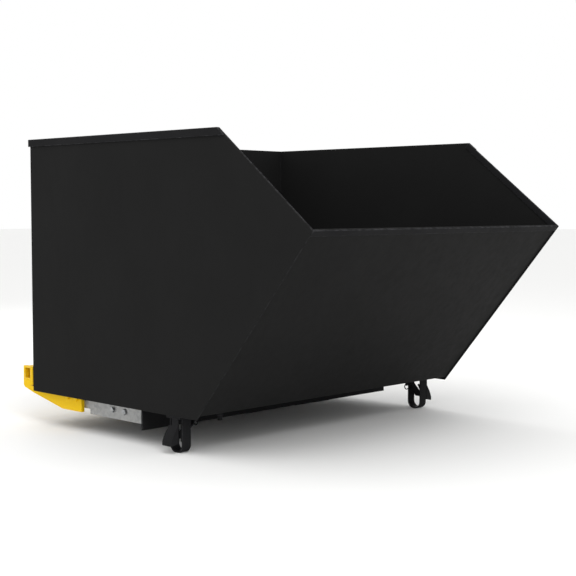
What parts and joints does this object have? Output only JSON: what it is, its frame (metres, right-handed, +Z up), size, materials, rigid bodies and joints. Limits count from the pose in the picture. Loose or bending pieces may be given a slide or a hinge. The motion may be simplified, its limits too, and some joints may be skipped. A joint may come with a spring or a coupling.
{
  "type": "self-dumping hopper",
  "caption": "Black sheet-steel hopper that tips forward on a low base with fork pockets, galvanised side rails, a yellow rear frame and a spring latch.",
  "frame": {"origin": "middle of the overall box, on the ground", "axes": "+X across the width (right side, seen by someone behind the hopper looking to its lip), +Y backwards from the open lip to the yellow frame, +Z up"},
  "size_m": [1.474, 1.635, 1.131],
  "materials": {
    "black_paint": "semi-gloss black powder coat",
    "yellow_paint": "gloss yellow powder coat",
    "galvanised": "galvanised",
    "zinc": "bright zinc plated",
    "bronze": "sintered bronze",
    "rubber": "moulded black rubber"
  },
  "bodies": {
    "base": {"cross_plate": "black_paint", "fork_pocket_left": "black_paint", "fork_pocket_right": "black_paint", "foot_front_left": "black_paint", "foot_front_right": "black_paint", "foot_rear_left": "black_paint", "foot_rear_right": "black_paint", "side_rail_left": "galvanised", "side_rail_right": "galvanised", "middle_member": "galvanised", "rear_member": "galvanised", "rest_pads": "rubber", "hinge_bracket_left": "black_paint", "hinge_bracket_right": "black_paint", "hinge_pin_left": "zinc", "hinge_pin_right": "zinc", "hinge_split_pins": "zinc", "frame_arm_left": "yellow_paint", "frame_arm_right": "yellow_paint", "cross_tube": "yellow_paint", "frame_bolts": "zinc", "frame_nuts": "zinc", "latch_bracket": "yellow_paint", "latch_pin": "zinc", "latch_spring": "zinc"},
    "hopper": {"side_panel_left": "black_paint", "side_panel_right": "black_paint", "back_panel": "black_paint", "floor_panel": "black_paint", "front_panel": "black_paint", "top_rim_left": "black_paint", "top_rim_right": "black_paint", "top_rim_back": "black_paint", "edge_bar_left": "black_paint", "edge_bar_right": "black_paint", "lip_bar": "black_paint", "back_stiffener_left": "black_paint", "back_stiffener_right": "black_paint", "front_bearer": "black_paint", "hinge_lug_left": "black_paint", "hinge_lug_right": "black_paint", "hinge_bush_left": "bronze", "hinge_bush_right": "bronze", "latch_striker": "black_paint", "drain_socket": "black_paint", "drain_plug": "black_paint", "leg_bracket_left": "black_paint", "leg_bracket_right": "black_paint", "leg_loop_left": "black_paint", "leg_loop_right": "black_paint", "leg_brace_left": "black_paint", "leg_brace_right": "black_paint", "leg_fin_left": "black_paint", "leg_fin_right": "black_paint"},
    "latch": {"latch_lever": "black_paint", "lever_grips": "rubber"},
    "plunger_left": {"lock_plunger_left": "black_paint"},
    "plunger_right": {"lock_plunger_right": "black_paint"},
    "ring_left": {"pull_ring_left": "black_paint"},
    "ring_right": {"pull_ring_right": "black_paint"}
  },
  "joints": [
    {"name": "hopper_tip", "type": "hinge", "parent": "base", "child": "hopper", "pos_m": [0, 0.0825, 0.104], "axis": [1, 0, 0], "range_deg": [0, 90]},
    {"name": "latch_release", "type": "hinge", "parent": "base", "child": "latch", "pos_m": [0, 0.7575, 0.243], "axis": [-1, 0, 0], "range_deg": [0, 40], "stiffness_Nm_per_rad": 3, "springref_deg": -17.19},
    {"name": "plunger_pull_left", "type": "slide", "parent": "hopper", "child": "plunger_left", "axis": [1, 0, 0], "range_m": [0, 0.012], "stiffness_N_per_m": 600, "springref_m": -0.01},
    {"name": "ring_swing_left", "type": "hinge", "parent": "plunger_left", "child": "ring_left", "pos_m": [-0.6, -0.1435, 0.109], "axis": [0, -1, 0], "range_deg": [-30, 85]},
    {"name": "plunger_pull_right", "type": "slide", "parent": "hopper", "child": "plunger_right", "axis": [-1, 0, 0], "range_m": [0, 0.012], "stiffness_N_per_m": 600, "springref_m": -0.01},
    {"name": "ring_swing_right", "type": "hinge", "parent": "plunger_right", "child": "ring_right", "pos_m": [0.6, -0.1435, 0.109], "axis": [0, 1, 0], "range_deg": [-30, 85]}
  ]
}
